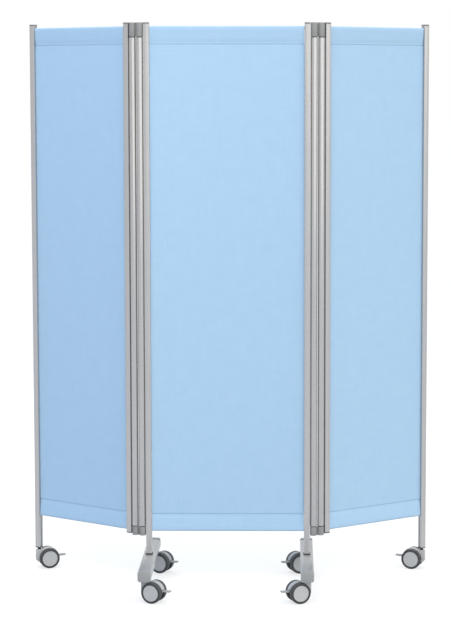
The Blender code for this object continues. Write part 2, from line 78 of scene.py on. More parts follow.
# Read from the frame: the sizes and places that the solids settle
CAP_LOW, CAP_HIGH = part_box("centre_left_cap")
POST_WIDTH = CAP_HIGH.x - CAP_LOW.x
HALF_POST = POST_WIDTH / 2
SCREEN_TOP = CAP_HIGH.z
OUTER_POST_BOTTOM, POST_TOP = (corner.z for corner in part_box("left_wing_outer_post"))
CENTRE_POST_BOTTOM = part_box("centre_left_post")[0].z
INNER_POST_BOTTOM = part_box("left_wing_inner_post")[0].z
CENTRE_MIDDLE = (spot("left_centre_pivot") + spot("right_centre_pivot")) / 2
CENTRE_PIVOT_X = spot("right_centre_pivot").x
CENTRE_POST_X = spot("right_front_castor_swivel").x
PIVOT_TO_POST = CENTRE_PIVOT_X - CENTRE_POST_X
PIVOT_SPACING = (spot("right_wing_pivot") - spot("right_centre_pivot")).length
OUTER_POST_X = (spot("right_wing_castor_swivel") - spot("right_wing_pivot")).length
FOOT_LOW, FOOT_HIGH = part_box("left_foot_bar")
FOOT_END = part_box("left_foot_end_cap")[1].y
AXLE_HEIGHT = spot("left_front_wheel_a_spin").z
CASTOR_TRAIL = (spot("left_front_wheel_a_spin") - spot("left_front_castor_swivel")).xy.length
LEVER_PIVOT = spot("left_front_brake_press") - spot("left_front_wheel_a_spin")
LEVER_OUT, LEVER_UP = LEVER_PIVOT.xy.length, LEVER_PIVOT.z

# The play between fitted pieces, the points of small rounds, and the angle from which an edge is crisp
GAP = 0.0003
HOLE_STEPS = 32
TURNED_STEPS = 40
CRISP = math.radians(38)

# Posts and what closes their ends
POST_CORNER = 0.0014
POST_CORNER_STEPS = 4
GROOVE_MOUTH = 0.0024
GROOVE_BORE = 0.0031
GROOVE_SETBACK = 0.0036
CORE_DEPTH = 0.0084
CORE_CORNER = 0.0008
POST_WALL = 0.0015
CAP_PLUG = 0.008
CAP_EDGE = 0.0007
END_PLATE = 0.0030
END_PLATE_EDGE = 0.0005

# Hinges
TUBE_RADIUS = 0.0105
TUBE_BORE = 0.0085
TUBE_EDGE = 0.0007
TUBE_WEB = 0.0030
TUBE_STEPS = 56
TUBE_ENDS = (0.1904, 1.7042)
TOP_BLOCK = (1.7066, 1.7496)
BOTTOM_BLOCK = (0.161, 0.188)
BLOCK_WAIST = 0.0012
BLOCK_EDGE = 0.0007
SHIM_RADIUS = 0.0094
SHIM_HEIGHT = 0.0022
JOURNAL_RADIUS = 0.0081
JOURNAL_REACH = 0.022
JOURNAL_STEPS = 48
PIN_RADIUS = 0.0042
PIN_PROUD = 0.0003

# Cloth: the cut is carried round a rail at each end and sewn down behind itself
CLOTH = 0.0008
WEAVE_PITCH = 0.0009
SEAM_DROP = 0.055
SEAM_TURN = 0.0010
RAIL_WRAP = 0.0047
RAIL_WRAP_STEPS = 14
HEM_SPANS = 5
HEM_END_GAP = 0.0006
CLOTH_TUCK = 0.0013
TUCK_RUN = 0.006
ROW_STEP = 0.009
COLUMN_STEP = 0.0055
CREASE_DEPTH = 0.0004
CREASE_WIDTH = 0.0011
CREASE_ROWS = (-6.0, -3.0, -1.6, -0.8, 0.0, 0.8, 1.6, 3.0, 6.0)
PUCKER_HEIGHT = 0.00022
PUCKER_PITCH = 0.0125
PUCKER_FADE = 0.014
PUCKER_DRIFT = (1.7, 41.0, 9.0)
PULL_HEIGHT = 0.00016
PULL_PITCH = 0.043
PULL_FADE = 0.030
PULL_DRIFT = (2.1, 11.0)
BILLOW = 0.0006
BILLOW_WAVES = ((5.3, 0.7), (2.9, 0.4))
STITCH_PITCH = 0.0036
STITCH_LENGTH = 0.0029
STITCH_THICKNESS = 0.00055
STITCH_MARGIN = 0.0036

# Feet
FOOT_CORNER = 0.0070
FOOT_WALL = 0.0025
FOOT_EDGE = 0.0007
END_CAP_LENGTH = 0.020
END_CAP_EDGE = 0.0022
# The dark seal before the rear end moulding, whose colour also paints the joint's shade
END_NECK = 0.005
END_SEAL = 0.0035
END_SEAL_INSET = 0.0006
COLLAR_WIDTH = 0.0215
COLLAR_HEIGHT = 0.0036
COLLAR_CORNER = 0.0022
BOLT_RADIUS = 0.0065
BOLT_HEIGHT = 0.0050
BOLT_SOCKET = 0.0032
BOLT_SOCKET_DEPTH = 0.0030
WASHER_RADIUS = 0.0095
WASHER_HEIGHT = 0.0015

# Castors
HOOD_RADIUS = 0.0336
HOOD_HALF = 0.0075
HOOD_EDGE = 0.0012
HOOD_START = math.radians(16)
AXLE_BOSS = 0.009
AXLE_BOSS_START = math.radians(235)
AXLE_BOSS_END = math.radians(325)
NOTCH_RADIUS = 0.0047
NOTCH_TURN = math.radians(45)
STEM_BLOCK_RISE = 0.0290
STEM_BLOCK_REACH = 0.0105
STEM_BLOCK_CORNER = 0.0030
STEM_BLOCK_LOW = 0.0050
STEM_BLOCK_HEEL = 0.0055
STEM_RADIUS = 0.004
STEM_RISE = 0.016
STEM_CHAMFER = 0.0008
BUSH_RADIUS = 0.0052
WHEEL_CENTRE = 0.01675
WHEEL_HALF = 0.0082
HUB_RADIUS = 0.0247
TYRE_SHOULDER = 0.0020
TYRE_CROWN = 0.0003
TREAD_FADE = (0.0306, 0.0320)
TYRE_RINGS = 12000.0
SIDE_RING = 0.0285
SIDE_RING_WIDTH = 0.0008
SIDE_RING_DEPTH = 0.0003
HUB_FACE_DEPTH = 0.0008
HUB_RIM = 0.0016
HUB_RIM_RISE = 0.00048
HUB_RINGS = 9000.0
AXLE_BORE = 0.0044
HUB_WEB = 0.0030
WHEEL_STEPS = 72
LEVER_BOSS = 0.0035
LEVER_BOSS_START = math.radians(60)
LEVER_BOSS_END = math.radians(320)
LEVER_REACH = 0.0395
LEVER_RISE = math.radians(2)
LEVER_ROOT = 0.0044
LEVER_ROOT_AT = 0.0049
LEVER_TIP = 0.0038
LEVER_HALF_WIDTH = 0.0072
LEVER_EDGE = 0.0008
RIB_PITCH = 0.0021
RIB_RUN = (0.0225, 0.0365)
RIB_SIZE = (0.0009, 0.0120, 0.0008)


# Node trees


class Signal:
    """One output in a node tree. Sums written on it become Math nodes."""

    def __init__(self, wiring, socket):
        self.wiring = wiring
        self.socket = socket

    def maths(self, operation, *others):
        """A Math node on this value and the others."""
        values = dict(enumerate((self, *others)))
        return self.wiring.node("ShaderNodeMath", {"operation": operation}, values)

    def __add__(self, other):
        return self.maths("ADD", other)

    __radd__ = __add__

    def __mul__(self, other):
        return self.maths("MULTIPLY", other)

    __rmul__ = __mul__

    def __sub__(self, other):
        return self.maths("SUBTRACT", other)

    def __rsub__(self, other):
        return (self * -1.0) + other

    def sine(self):
        return self.maths("SINE")

    def or_more(self, other):
        """The larger of the two values."""
        return self.maths("MAXIMUM", other)

    def within(self, low, high):
        """The signal taken from 0 at low to 1 at high, and held there."""
        ends = {"Value": self, "From Min": low, "From Max": high}
        return self.wiring.node("ShaderNodeMapRange", {"clamp": True}, ends)


class Wiring:
    """A node tree that is being wired."""

    def __init__(self, tree):
        self.tree = tree

    def node(self, kind, settings=None, inputs=None, output=0):
        """Adds a node, makes its settings, sets or links its sockets and hands back one output."""
        made = self.tree.nodes.new(kind)
        for name, value in (settings or {}).items():
            setattr(made, name, value)
        for key, value in (inputs or {}).items():
            self.feed(made.inputs[key], value)
        return Signal(self, made.outputs[output]) if len(made.outputs) else made

    def feed(self, socket, value):
        """Links a signal to a socket, or sets the socket to a plain value."""
        if isinstance(value, Signal):
            self.tree.links.new(value.socket, socket)
        else:
            socket.default_value = value

    def between(self, share, first, second):
        """The first colour, turning to the second as the share goes from 0 to 1."""
        ends = [colour if isinstance(colour, Signal) else (*colour, 1.0) for colour in (first, second)]
        colours = {0: share, 6: ends[0], 7: ends[1]}
        return self.node("ShaderNodeMix", {"data_type": "RGBA", "clamp_factor": True}, colours, output=2)


class Finish(Wiring):
    """A material with one Principled shader, on whose sockets its colours and textures go."""

    def __init__(self, name, colour, roughness, metallic=0.0, **even):
        self.material = bpy.data.materials.new(name)
        self.material.use_nodes = True
        super().__init__(self.material.node_tree)
        self.shader = self.tree.nodes["Principled BSDF"]
        self.shader.inputs["Base Color"].default_value = (*colour, 1.0)
        self.shader.inputs["Roughness"].default_value = roughness
        self.shader.inputs["Metallic"].default_value = metallic
        for socket, value in even.items():
            self.shader.inputs[socket.replace("_", " ")].default_value = value

    def place(self, source, stretch=(1.0, 1.0, 1.0)):
        """The coordinates of the piece or of its cut, in metres, each stretched by a factor."""
        where = self.node("ShaderNodeTexCoord", output=source)
        return self.node("ShaderNodeMapping", {"vector_type": "POINT"}, {"Vector": where, "Scale": stretch})

    def noise(self, scale, detail=2.0, stretch=(1.0, 1.0, 1.0), source="Object"):
        """A noise over such coordinates."""
        where = self.place(source, stretch)
        return self.node("ShaderNodeTexNoise", None, {"Vector": where, "Scale": scale, "Detail": detail})

    def stored(self, attribute):
        """A value that the mesh keeps on its points."""
        settings = {"attribute_name": attribute, "attribute_type": "GEOMETRY"}
        return self.node("ShaderNodeAttribute", settings, output="Fac")

    def colour(self, value):
        self.feed(self.shader.inputs["Base Color"], value)

    def roughness(self, value):
        self.feed(self.shader.inputs["Roughness"], value)

    def relief(self, height, strength, depth):
        """A bump from a height that goes from 0 to 1."""
        sockets = {"Height": height, "Strength": strength, "Distance": depth}
        self.feed(self.shader.inputs["Normal"], self.node("ShaderNodeBump", None, sockets))


def drawn_aluminium():
    """Clear anodised extrusion: die lines down the length, a faint cloudiness and satin roughness."""
    finish = Finish("drawn_aluminium", (0.43, 0.43, 0.44), 0.36, 0.75)
    lines = finish.noise(2600.0, 3.0, (1.0, 1.0, 0.012))
    bands = finish.noise(420.0, stretch=(1.0, 1.0, 0.03))
    cloud = finish.noise(9.0)
    share = lines * 0.45 + bands * 0.35 + cloud * 0.2
    finish.colour(finish.between(share, (0.38, 0.38, 0.39), (0.54, 0.54, 0.545)))
    finish.roughness(lines * 0.10 + cloud * 0.04 + 0.17)
    finish.relief(lines * 0.7 + bands * 0.3, 0.35, 0.00006)
    return finish.material


def rail_aluminium():
    """Plain drawn rod, a little duller than the posts."""
    finish = Finish("rail_aluminium", (0.48, 0.48, 0.49), 0.42, 0.8)
    speckle = finish.noise(900.0)
    finish.colour(finish.between(speckle, (0.42, 0.42, 0.43), (0.54, 0.54, 0.55)))
    finish.roughness(speckle * 0.15 + 0.34)
    return finish.material


def woven_cloth():
    """Plain-woven cloth: crossing threads, slubs, faint mottling, and painted shade along the crease at each
    seam.
    """
    finish = Finish("woven_cloth", (0.44, 0.65, 0.88), 0.88, Sheen_Weight=0.18, Sheen_Roughness=0.5)
    on_cut = finish.place("UV")
    across, down = (finish.node("ShaderNodeSeparateXYZ", None, {0: on_cut}, output=axis) for axis in "XY")
    turn = 2 * math.pi / WEAVE_PITCH
    weft = (across * turn).sine() * 0.5 + 0.5
    warp = (down * turn).sine() * 0.5 + 0.5
    threads = (weft - warp) * ((across * (turn / 2)).sine() * (down * (turn / 2)).sine()) * 0.5 + 0.5
    slub_across = finish.noise(1.0, stretch=(9.0, 700.0, 1.0), source="UV")
    slub_down = finish.noise(1.0, stretch=(700.0, 9.0, 1.0), source="UV")
    mottle = finish.noise(26.0, 3.0, source="UV")
    light = slub_across * 0.3 + slub_down * 0.3 + threads * 0.15 + mottle * 0.25
    body = finish.between(light.within(0.3, 0.7), (0.405, 0.615, 0.845), (0.475, 0.69, 0.915))
    # Painted shade: the cloth turns to a deep blue in the crease at each seam, where shade falls
    finish.colour(finish.between(finish.stored("crease"), body, (0.26, 0.42, 0.64)))
    finish.roughness(light * 0.12 + 0.82)
    finish.relief(threads * 0.6 + (slub_across + slub_down) * 0.2, 0.28, 0.00022)
    return finish.material


def seam_thread():
    """Twisted sewing thread, a touch deeper than the cloth."""
    finish = Finish("seam_thread", (0.31, 0.50, 0.75), 0.6, Sheen_Weight=0.3)
    twist = finish.noise(5200.0)
    finish.colour(finish.between(twist, (0.26, 0.43, 0.67), (0.36, 0.56, 0.82)))
    return finish.material


def moulded(name, dark, light, roughness, grain=0.35, gloss=0.5, rings=0.0):
    """A moulded plastic with faint flow marks and a fine spark-eroded grain, or with rings about its axle."""
    finish = Finish(name, dark, roughness, Specular_IOR_Level=gloss)
    pits = finish.noise(2400.0, 1.0)
    flow = finish.noise(70.0, 3.0, (1.0, 1.0, 2.5))
    finish.colour(finish.between((flow * 0.7 + pits * 0.3).within(0.3, 0.7), dark, light))
    finish.roughness(pits * 0.14 + flow * 0.08 + (roughness - 0.11))
    if rings:
        ringed = (finish.stored("radius") * rings).sine() * 0.5 + 0.5
        finish.relief(ringed * 0.5 + finish.noise(2400.0) * 0.5, grain, 0.00006)
    else:
        finish.relief(pits, grain, 0.00008)
    return finish.material


def tyre_rubber():
    """Dark rubber with a matt sidewall, a dusty tread and fine moulding rings."""
    finish = Finish("tyre_rubber", (0.05, 0.052, 0.057), 0.6)
    radius = finish.stored("radius")
    tread = radius.within(*TREAD_FADE)
    dust = finish.noise(160.0, 4.0)
    grit = finish.noise(1900.0)
    share = (tread * dust * 0.9 + grit * 0.2).within(0.1, 0.9)
    finish.colour(finish.between(share, (0.040, 0.042, 0.047), (0.100, 0.102, 0.106)))
    finish.roughness(grit * 0.18 + tread * 0.15 + 0.46)
    finish.relief((radius * TYRE_RINGS).sine() * 0.2 + grit * 0.6, 0.3, 0.0001)
    return finish.material


def foot_paint():
    """Satin powder coat: a soft orange peel, tiny specks and a few fine scuffs."""
    finish = Finish("foot_paint", (0.36, 0.365, 0.37), 0.36, 0.1, Coat_Weight=0.5, Coat_Roughness=0.22)
    peel = finish.noise(420.0, 1.0)
    specks = finish.noise(3200.0).within(0.62, 0.75)
    scuffs = finish.noise(900.0, 3.0, (1.0, 0.08, 1.0)).within(0.64, 0.72)
    cloud = finish.noise(30.0)
    share = cloud * 0.7 + scuffs * 0.25 - specks * 0.15
    finish.colour(finish.between(share, (0.305, 0.312, 0.318), (0.385, 0.392, 0.398)))
    finish.roughness(scuffs * 0.18 + cloud * 0.06 + 0.30)
    finish.relief(peel * 0.8 + specks * 0.2, 0.3, 0.00012)
    return finish.material


def plated_steel():
    """Zinc-plated steel, lightly clouded."""
    finish = Finish("plated_steel", (0.50, 0.50, 0.49), 0.32, 1.0)
    cloud = finish.noise(240.0, 4.0)
    finish.colour(finish.between(cloud, (0.42, 0.42, 0.41), (0.60, 0.60, 0.59)))
    finish.roughness(cloud * 0.25 + 0.2)
    return finish.material


# Every material, by the short name that the makers below use
FINISHES = {
    "post": drawn_aluminium(),
    "rail": rail_aluminium(),
    "cloth": woven_cloth(),
    "thread": seam_thread(),
    "cap": moulded("end_cap_plastic", (0.20, 0.20, 0.205), (0.27, 0.27, 0.275), 0.5),
    "block": moulded("hinge_block_plastic", (0.27, 0.275, 0.275), (0.33, 0.335, 0.335), 0.42),
    "gasket": moulded("gasket_rubber", (0.045, 0.05, 0.05), (0.075, 0.08, 0.08), 0.7, gloss=0.1),
    "hood": moulded("hood_plastic", (0.46, 0.47, 0.47), (0.55, 0.56, 0.56), 0.42, 0.28),
    "lever": moulded("lever_plastic", (0.36, 0.365, 0.365), (0.44, 0.445, 0.445), 0.45, 0.28),
    "foot_end": moulded("foot_end_plastic", (0.40, 0.42, 0.44), (0.48, 0.50, 0.52), 0.42),
    "hub": moulded("hub_plastic", (0.525, 0.53, 0.535), (0.56, 0.565, 0.57), 0.42, 0.2, rings=HUB_RINGS),
    "tyre": tyre_rubber(),
    "foot": foot_paint(),
    "steel": plated_steel(),
}


# Outlines and bodies


def arc(radius, start, end, steps, centre=(0.0, 0.0)):
    """Points on an arc, both ends included."""
    turns = (start + (end - start) * i / steps for i in range(steps + 1))
    return [(centre[0] + radius * math.cos(t), centre[1] + radius * math.sin(t)) for t in turns]


def ring(radius, steps, centre=(0.0, 0.0)):
    """Points round a whole circle."""
    return arc(radius, 0.0, 2 * math.pi * (steps - 1) / steps, steps - 1, centre)


def rounded(width, depth, radius, centre=(0.0, 0.0), steps=5):
    """A rectangle with rounded corners."""
    quarter = math.pi / 2
    points = []
    for k, (side, end) in enumerate(((1, 1), (-1, 1), (-1, -1), (1, -1))):
        corner = (centre[0] + side * (width / 2 - radius), centre[1] + end * (depth / 2 - radius))
        points += arc(radius, k * quarter, (k + 1) * quarter, steps, corner)
    return points


def outline_point(u, v, w, along):
    """The point (u, v) of an outline drawn across the axis Y or Z, at the distance w along it."""
    return (u, w, v) if along == "Y" else (u, v, w)


def slab(outlines, low, high, along="Z", edge=0.0, ends=(True, True)):
    """A bar from low to high. The first outline is the outside and the others are holes through it.

    The corners of the chosen ends are rounded off by the edge radius.
    """
    work = bmesh.new()
    rims = []
    for level, soften in zip((low, high), ends):
        rim = []
        for outline in outlines:
            corners = [work.verts.new(outline_point(u, v, level, along)) for u, v in outline]
            rim += [work.edges.new(pair) for pair in zip(corners, corners[1:] + corners[:1])]
        if len(outlines) == 1:
            work.faces.new(corners)
        else:
            bmesh.ops.triangle_fill(work, use_beauty=True, edges=rim)
        rims += rim if soften else []
    work.verts.ensure_lookup_table()
    first, across = 0, sum(len(outline) for outline in outlines)
    for outline in outlines:
        for i in range(len(outline)):
            a, b = first + i, first + (i + 1) % len(outline)
            work.faces.new([work.verts[k] for k in (a, b, b + across, a + across)])
        first += len(outline)
    bmesh.ops.recalc_face_normals(work, faces=work.faces)
    if edge:
        bmesh.ops.bevel(work, geom=rims, offset=edge, segments=3, profile=0.5, affect="EDGES")
    return work


def turned(profile, steps, along="Z"):
    """A body turned from (radius, distance) points. One that starts off the axis closes on itself."""
    work = bmesh.new()
    turns = [2 * math.pi * k / steps for k in range(steps)]
    rows = []
    for radius, w in profile:
        if radius == 0.0:
            rows.append([work.verts.new(outline_point(0.0, 0.0, w, along))] * steps)
        else:
            spots = ((radius * math.cos(t), radius * math.sin(t)) for t in turns)
            rows.append([work.verts.new(outline_point(u, v, w, along)) for u, v in spots])
    closed = profile[0][0] > 0.0
    for i in range(len(rows) if closed else len(rows) - 1):
        near, far = rows[i], rows[(i + 1) % len(rows)]
        for k in range(steps):
            m = (k + 1) % steps
            corners = list(dict.fromkeys((near[k], near[m], far[m], far[k])))
            if len(corners) > 2:
                work.faces.new(corners)
    bmesh.ops.recalc_face_normals(work, faces=work.faces)
    return work


def mesh_of(work, name):
    """The mesh of a body, which is used up."""
    mesh = bpy.data.meshes.new(name)
    work.to_mesh(mesh)
    work.free()
    return mesh


def in_scene(name, data):
    """A new object of the scene, for a mesh, a lamp or a camera."""
    made = bpy.data.objects.new(name, data)
    bpy.context.scene.collection.objects.link(made)
    return made


def gathered(*works):
    """Several bodies in one."""
    whole = bmesh.new()
    for work in works:
        mesh = mesh_of(work, "part")
        whole.from_mesh(mesh)
        bpy.data.meshes.remove(mesh)
    return whole


def settled(holder):
    """The body that an object's modifiers make. The object is removed."""
    shown = holder.evaluated_get(bpy.context.evaluated_depsgraph_get())
    result = bmesh.new()
    result.from_mesh(bpy.data.meshes.new_from_object(shown))
    bpy.data.objects.remove(holder)
    return result


def evaluated(work, *modifiers):
    """The body after modifiers, each a kind and its settings."""
    holder = in_scene("work", mesh_of(work, "work"))
    for kind, settings in modifiers:
        modifier = holder.modifiers.new(kind.lower(), kind)
        for name, value in settings.items():
            setattr(modifier, name, value)
    return settled(holder)


def cut(work, *cutters):
    """The body with the cutters taken out of it."""
    tools = [in_scene("cutter", mesh_of(cutter, "cutter")) for cutter in cutters]
    result = evaluated(work, *(
        ("BOOLEAN", {"operation": "DIFFERENCE", "solver": "EXACT", "object": tool}) for tool in tools
    ))
    for tool in tools:
        bpy.data.objects.remove(tool)
    return result


def piece(name, work, finish, body, space=HERE, stands_for=()):
    """Makes a finished piece of a body drawn in a space of its own, riding on a body of the frame."""
    work.transform(space)
    mesh = mesh_of(work, name)
    mesh.materials.clear()
    mesh.materials.append(FINISHES[finish])
    mesh.shade_smooth()
    mesh.set_sharp_from_angle(angle=CRISP)
    made = in_scene(name, mesh)
    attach(made, body)
    if stands_for:
        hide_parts(*stands_for)
    return made


def keep_radius(work):
    """Stores on each point of a wheel's body how far it lies from the axle, which runs along Y."""
    layer = work.verts.layers.float.new("radius")
    for vert in work.verts:
        vert[layer] = math.hypot(vert.co.x, vert.co.z)
    return work


# Rows of small things

BEAD_SIZES = ("Pitch", "Length", "Width", "Height")


def row_tree(material):
    """A tree that lays equal beads along every edge of a mesh, each turned to follow it."""
    tree = bpy.data.node_groups.new("row_of_beads", "GeometryNodeTree")
    tree.interface.new_socket("Path", in_out="INPUT", socket_type="NodeSocketGeometry")
    for name in BEAD_SIZES:
        tree.interface.new_socket(name, in_out="INPUT", socket_type="NodeSocketFloat")
    tree.interface.new_socket("Beads", in_out="OUTPUT", socket_type="NodeSocketGeometry")
    wiring = Wiring(tree)
    given = {name: wiring.node("NodeGroupInput", output=name) for name in ("Path", *BEAD_SIZES)}
    curve = wiring.node("GeometryNodeMeshToCurve", None, {"Mesh": given["Path"]})
    along = {"Curve": curve, "Length": given["Pitch"]}
    points = wiring.node("GeometryNodeResampleCurve", {"mode": "LENGTH"}, along)
    bead = wiring.node("GeometryNodeMeshUVSphere", None, {"Segments": 8, "Rings": 5, "Radius": 0.5})
    sides = {0: given["Length"], 1: given["Width"], 2: given["Height"]}
    size = wiring.node("ShaderNodeCombineXYZ", None, sides)
    sized = wiring.node("GeometryNodeTransform", None, {"Geometry": bead, "Scale": size})
    tangent = wiring.node("GeometryNodeInputTangent")
    turn = wiring.node("FunctionNodeAlignRotationToVector", {"axis": "X"}, {"Vector": tangent})
    laid = {"Points": points, "Instance": sized, "Rotation": turn}
    rows = wiring.node("GeometryNodeInstanceOnPoints", None, laid)
    beads = wiring.node("GeometryNodeRealizeInstances", None, {0: rows})
    finished = wiring.node("GeometryNodeSetMaterial", None, {"Geometry": beads, "Material": material})
    wiring.node("NodeGroupOutput", None, {"Beads": finished})
    return tree


def row_of_beads(tree, paths, sizes):
    """The body that the tree makes along some paths, for a pitch, length, width and height."""
    lines = bmesh.new()
    for path in paths:
        corners = [lines.verts.new(point) for point in path]
        for pair in zip(corners, corners[1:]):
            lines.edges.new(pair)
    holder = in_scene("paths", mesh_of(lines, "paths"))
    modifier = holder.modifiers.new("row", "NODES")
    modifier.node_group = tree
    sockets = {item.name: item.identifier for item in tree.interface.items_tree if item.in_out == "INPUT"}
    for name, size in zip(BEAD_SIZES, sizes):
        modifier[sockets[name]] = size
    return settled(holder)


# Posts


def post_outline():
    """The outside of a post, with the keyhole groove in its +X face."""
    square = rounded(POST_WIDTH, POST_WIDTH, POST_CORNER, steps=POST_CORNER_STEPS)
    last = -POST_CORNER_STEPS - 1
    mouth = GROOVE_MOUTH / 2
    lip = math.asin(mouth / GROOVE_BORE)
    groove = arc(GROOVE_BORE, 2 * math.pi - lip, lip, 20, (HALF_POST - GROOVE_SETBACK, 0.0))
    return square[last:] + [(HALF_POST, -mouth), *groove, (HALF_POST, mouth)] + square[:last]


def core_outline(slack=0.0):
    """The hollow core of a post, or what slides into it with some slack."""
    middle = -HALF_POST + POST_WALL + CORE_DEPTH / 2
    return rounded(CORE_DEPTH - 2 * slack, POST_WIDTH - 2 * POST_WALL - 2 * slack, CORE_CORNER, (middle, 0.0))


def post_square(play=0.0, centre=(0.0, 0.0)):
    """The square that a post fills, or with some play the opening that it goes through."""
    return rounded(POST_WIDTH + play, POST_WIDTH + play, POST_CORNER, centre)


def stem_hole(centre=(0.0, 0.0)):
    """The outline of the hole for a castor's stem."""
    return ring(STEM_RADIUS + GAP, HOLE_STEPS, centre)


def make_post(name, body, space, bottom, on_castor=False):
    """A post from its bottom up. One that stands on a castor has a hole for the stem."""
    post = slab([post_outline(), core_outline()], bottom, POST_TOP)
    if on_castor:
        depth = OUTER_POST_BOTTOM + STEM_RISE + 2 * STEM_CHAMFER
        post = cut(post, slab([stem_hole()], bottom - END_PLATE, depth))
    piece(name + "_post_extrusion", post, "post", body, space, [name + "_post"])


def make_top_cap(name, body, space):
    """A thin cap with softened edges on a plug that sits in the post's core."""
    seat = POST_TOP + GAP
    plate = slab([post_square()], seat, SCREEN_TOP, edge=CAP_EDGE, ends=(False, True))
    plug = slab([core_outline(GAP)], seat - CAP_PLUG, seat)
    piece(name + "_cap_moulding", gathered(plate, plug), "cap", body, space, [name + "_cap"])


def make_end_plate(name, body, space, bottom, on_castor=False):
    """The plate that closes the lower end of a wing's post."""
    outlines = [post_square(), stem_hole()] if on_castor else [post_square()]
    edge = 0.0 if on_castor else END_PLATE_EDGE
    plate = slab(outlines, bottom, bottom + END_PLATE, edge=edge, ends=(True, False))
    piece(name + "_end_plate", plate, "gasket", body, space)


def make_tube(name, body, space):
    """The hinge tube on a post's -X side, joined to it by a narrow web."""
    start = math.asin(TUBE_WEB / TUBE_RADIUS)
    reach = PIVOT_TO_POST - HALF_POST - GAP / 3
    outline = arc(TUBE_RADIUS, start, 2 * math.pi - start, TUBE_STEPS)
    outline += [(reach, -TUBE_WEB), (reach, TUBE_WEB)]
    tube = slab([outline, ring(TUBE_BORE, TUBE_STEPS)], *TUBE_ENDS, edge=TUBE_EDGE)
    piece(name + "_hinge_tube", tube, "post", body, space @ shifted(x=-PIVOT_TO_POST))


def on_both_pivots(radius, steps, start, reach, edge=0.0):
    """Two equal rounds on the pivots of a hinge, from a height up by a reach, or down if it is negative."""
    ends = sorted((start, start + reach))
    rounds = (ring(radius, steps, (x, 0.0)) for x in (0.0, PIVOT_SPACING))
    return gathered(*(slab([outline], *ends, edge=edge) for outline in rounds))


def make_link_block(name, body, space, ends, outward):
    """Two round barrels with a waist between them. Each has a journal and a shim in its tube, and a pin's
    end on its outer face, which is up for an outward of 1 and down for -1."""
    start = math.asin(BLOCK_WAIST / TUBE_RADIUS)
    barrels = arc(TUBE_RADIUS, start, 2 * math.pi - start, TURNED_STEPS)
    barrels += arc(TUBE_RADIUS, start - math.pi, math.pi - start, TURNED_STEPS, (PIVOT_SPACING, 0.0))
    inner, face = ends[::outward]
    journals = on_both_pivots(JOURNAL_RADIUS, JOURNAL_STEPS, inner, -outward * JOURNAL_REACH)
    block = gathered(slab([barrels], *ends, edge=BLOCK_EDGE), journals)
    shims = on_both_pivots(SHIM_RADIUS, JOURNAL_STEPS, inner, -outward * SHIM_HEIGHT)
    pins = on_both_pivots(PIN_RADIUS, HOLE_STEPS, face, outward * PIN_PROUD, PIN_PROUD / 2)
    piece(name + "_moulding", block, "block", body, space, [name])
    piece(name + "_shims", shims, "gasket", body, space)
    piece(name + "_pins", pins, "steel", body, space)


# Cloth


def span(start, end):
    """The points between two ends of a hem's straight run."""
    shares = [k / HEM_SPANS for k in range(1, HEM_SPANS)]
    return [(start[0] + (end[0] - start[0]) * t, start[1] + (end[1] - start[1]) * t) for t in shares]


def hem_path(seam, rail, front, inward):
    """The cloth's way round a rail, from its end behind the hem to the seam in front. Inward is 1 at the
    lower hem, where the cloth goes on upwards, and -1 at the upper."""
    behind, wrap = -front * (CLOTH + SEAM_TURN / 4), front * RAIL_WRAP
    points = [(behind, seam + inward * SEAM_TURN), (behind, seam)]
    points += span((behind, seam), (-wrap, rail))
    points += [(-front * y, rail + inward * z) for y, z in arc(RAIL_WRAP, 0.0, -math.pi, RAIL_WRAP_STEPS)]
    return points + span((wrap, rail), (0.0, seam))


def cloth_path(seams, rails, front):
    """The middle of the cloth's thickness as (Y, height) points, from one end of the cut to the other."""
    creases = [k * CREASE_WIDTH for k in CREASE_ROWS]
    first, last = seams[0] + creases[-1], seams[1] + creases[0]
    count = round((last - first) / ROW_STEP)
    points = hem_path(seams[0], rails[0], front, 1)
    points += [(0.0, seams[0] + d) for d in creases]
    points += [(0.0, first + (last - first) * i / count) for i in range(1, count)]
    points += [(0.0, seams[1] + d) for d in creases]
    return points + hem_path(seams[1], rails[1], front, -1)[::-1]


def nearest(z, seams):
    """How far a height is from the nearer seam."""
    return min(abs(z - seam) for seam in seams)


def crease_at(z, seams):
    """1 in the crease at a seam, fading to 0 beside it."""
    return math.exp(-((nearest(z, seams) / CREASE_WIDTH) ** 2))


def relief_of(x, z, half, seams):
    """How far the stretched cloth stands off its plane: puckers at a seam, pulls at the posts, a billow."""
    bend, pace, lean = PUCKER_DRIFT
    pucker = math.sin(2 * math.pi * x / PUCKER_PITCH + bend * math.sin(pace * x) + lean * z)
    bend, pace = PULL_DRIFT
    pull = math.sin(2 * math.pi * z / PULL_PITCH + bend * math.sin(pace * z))
    (wide, from_side), (tall, from_floor) = BILLOW_WAVES
    billow = math.sin(wide * x + from_side) * math.sin(tall * z + from_floor)
    return (
        PUCKER_HEIGHT * pucker * math.exp(-nearest(z, seams) / PUCKER_FADE)
        + PULL_HEIGHT * pull * math.exp(-(half - abs(x)) / PULL_FADE)
        + BILLOW * billow * (1 - (x / half) ** 2)
        - CREASE_DEPTH * crease_at(z, seams)
    )


def cloth_row(work, crease, y, z, width, front, seams):
    """One row of points across the cloth. Between the hems it reaches into the posts' grooves."""
    between_hems = abs(y) < CLOTH / 4
    inside = min(z - seams[0], seams[1] - z) if between_hems else 0.0
    tuck = (CLOTH_TUCK + HEM_END_GAP) * min(max(inside / TUCK_RUN, 0.0), 1.0)
    reach, columns = width / 2 - HEM_END_GAP + tuck, round(width / COLUMN_STEP)
    row = []
    for k in range(columns + 1):
        x = reach * (2 * k / columns - 1)
        off = front * relief_of(x, z, width / 2, seams) if between_hems else 0.0
        row.append(work.verts.new((x, y + off, z)))
        # How much painted shade the cloth's colour takes on here, full in a seam's crease
        row[-1][crease] = crease_at(z, seams)
    return row


